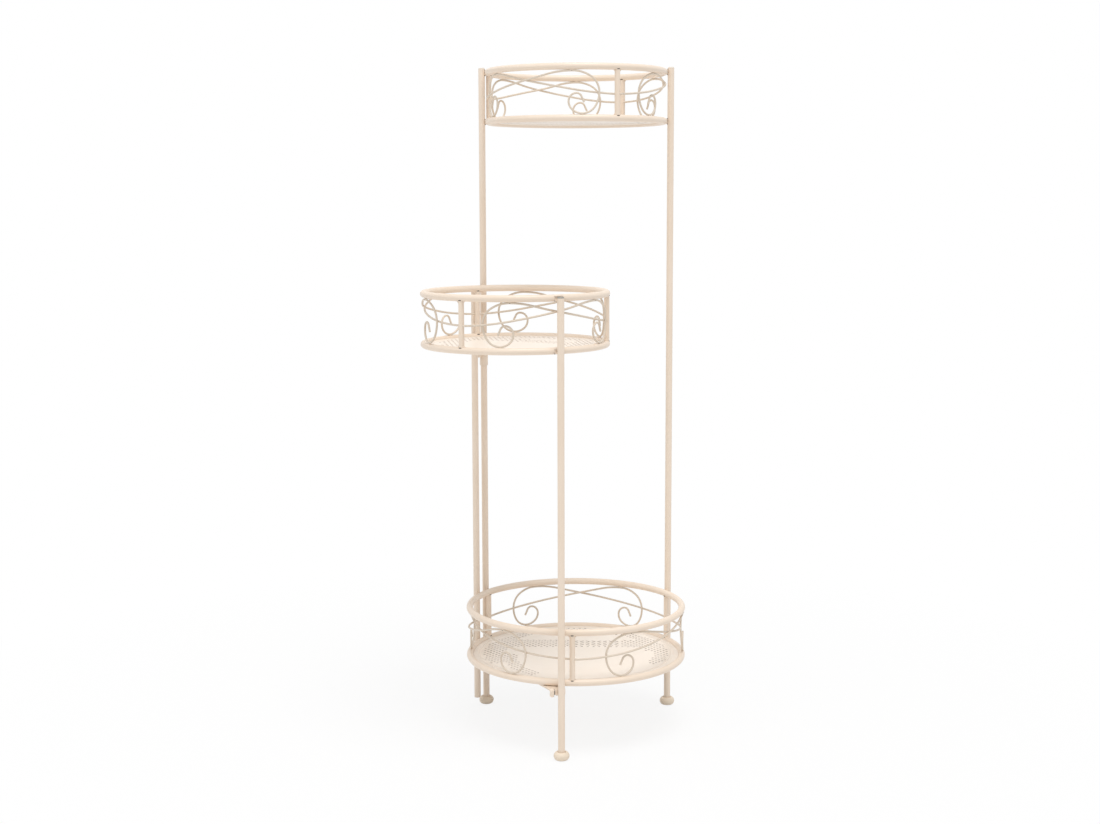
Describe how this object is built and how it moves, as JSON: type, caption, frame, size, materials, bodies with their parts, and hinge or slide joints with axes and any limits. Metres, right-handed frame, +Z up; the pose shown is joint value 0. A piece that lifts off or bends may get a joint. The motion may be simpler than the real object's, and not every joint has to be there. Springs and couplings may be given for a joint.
{
  "type": "tiered plant stand",
  "caption": "Folding plant stand of painted steel tube: round trays with scroll-wire sides held at staggered heights by slim upright poles.",
  "frame": {"origin": "on the floor, under the middle of the stand's bounding box", "axes": "+Z up; the two tall back poles stand in a row along X, and the stand's front is towards -Y, with the middle tray to the left (-X)"},
  "size_m": [0.3941, 0.4222, 1],
  "materials": {
    "painted_steel": "satin cream powder coat",
    "painted_sheet": "satin cream powder coat on pressed sheet",
    "foot": "matte cream moulding",
    "cap": "matte cream moulding"
  },
  "bodies": {
    "back_frame": {"back_frame_strip": "painted_steel", "hinge_stop_collar": "painted_steel", "left_back_foot": "foot", "left_back_pole": "painted_steel", "left_back_pole_cap": "cap", "right_back_foot": "foot", "right_back_pole": "painted_steel", "right_back_pole_cap": "cap", "strip_lug_left_back": "painted_steel", "strip_lug_right_back": "painted_steel", "top_tray_bar_1": "painted_steel", "top_tray_bar_2": "painted_steel", "top_tray_bar_3": "painted_steel", "top_tray_lower_ring": "painted_steel", "top_tray_plate": "painted_sheet", "top_tray_scroll_left_1": "painted_steel", "top_tray_scroll_left_2": "painted_steel", "top_tray_scroll_left_3": "painted_steel", "top_tray_scroll_right_1": "painted_steel", "top_tray_scroll_right_2": "painted_steel", "top_tray_scroll_right_3": "painted_steel", "top_tray_upper_ring": "painted_steel"},
    "side_frame": {"front_foot": "foot", "front_pole": "painted_steel", "front_pole_cap": "cap", "hinge_knuckle_lower": "painted_steel", "hinge_knuckle_upper": "painted_steel", "middle_tray_bar_1": "painted_steel", "middle_tray_bar_2": "painted_steel", "middle_tray_bar_3": "painted_steel", "middle_tray_lower_ring": "painted_steel", "middle_tray_plate": "painted_sheet", "middle_tray_scroll_left_1": "painted_steel", "middle_tray_scroll_left_2": "painted_steel", "middle_tray_scroll_left_3": "painted_steel", "middle_tray_scroll_right_1": "painted_steel", "middle_tray_scroll_right_2": "painted_steel", "middle_tray_scroll_right_3": "painted_steel", "middle_tray_upper_ring": "painted_steel", "side_frame_strip": "painted_steel", "side_pole": "painted_steel", "side_pole_cap": "cap", "strip_lug_front": "painted_steel", "strip_lug_side": "painted_steel"},
    "bottom_tray": {"bottom_tray_bar_1": "painted_steel", "bottom_tray_bar_2": "painted_steel", "bottom_tray_bar_3": "painted_steel", "bottom_tray_lower_ring": "painted_steel", "bottom_tray_plate": "painted_sheet", "bottom_tray_scroll_left_1": "painted_steel", "bottom_tray_scroll_left_2": "painted_steel", "bottom_tray_scroll_left_3": "painted_steel", "bottom_tray_scroll_right_1": "painted_steel", "bottom_tray_scroll_right_2": "painted_steel", "bottom_tray_scroll_right_3": "painted_steel", "bottom_tray_upper_ring": "painted_steel"}
  },
  "joints": [
    {"name": "side_frame_swing", "type": "hinge", "parent": "back_frame", "child": "side_frame", "pos_m": [-0.11434, 0.07177, 0.3], "axis": [0, 0, -1], "range_deg": [0, 175]},
    {"name": "bottom_tray_lift", "type": "slide", "parent": "back_frame", "child": "bottom_tray", "axis": [0, 0, 1], "range_m": [0, 0.35]}
  ]
}
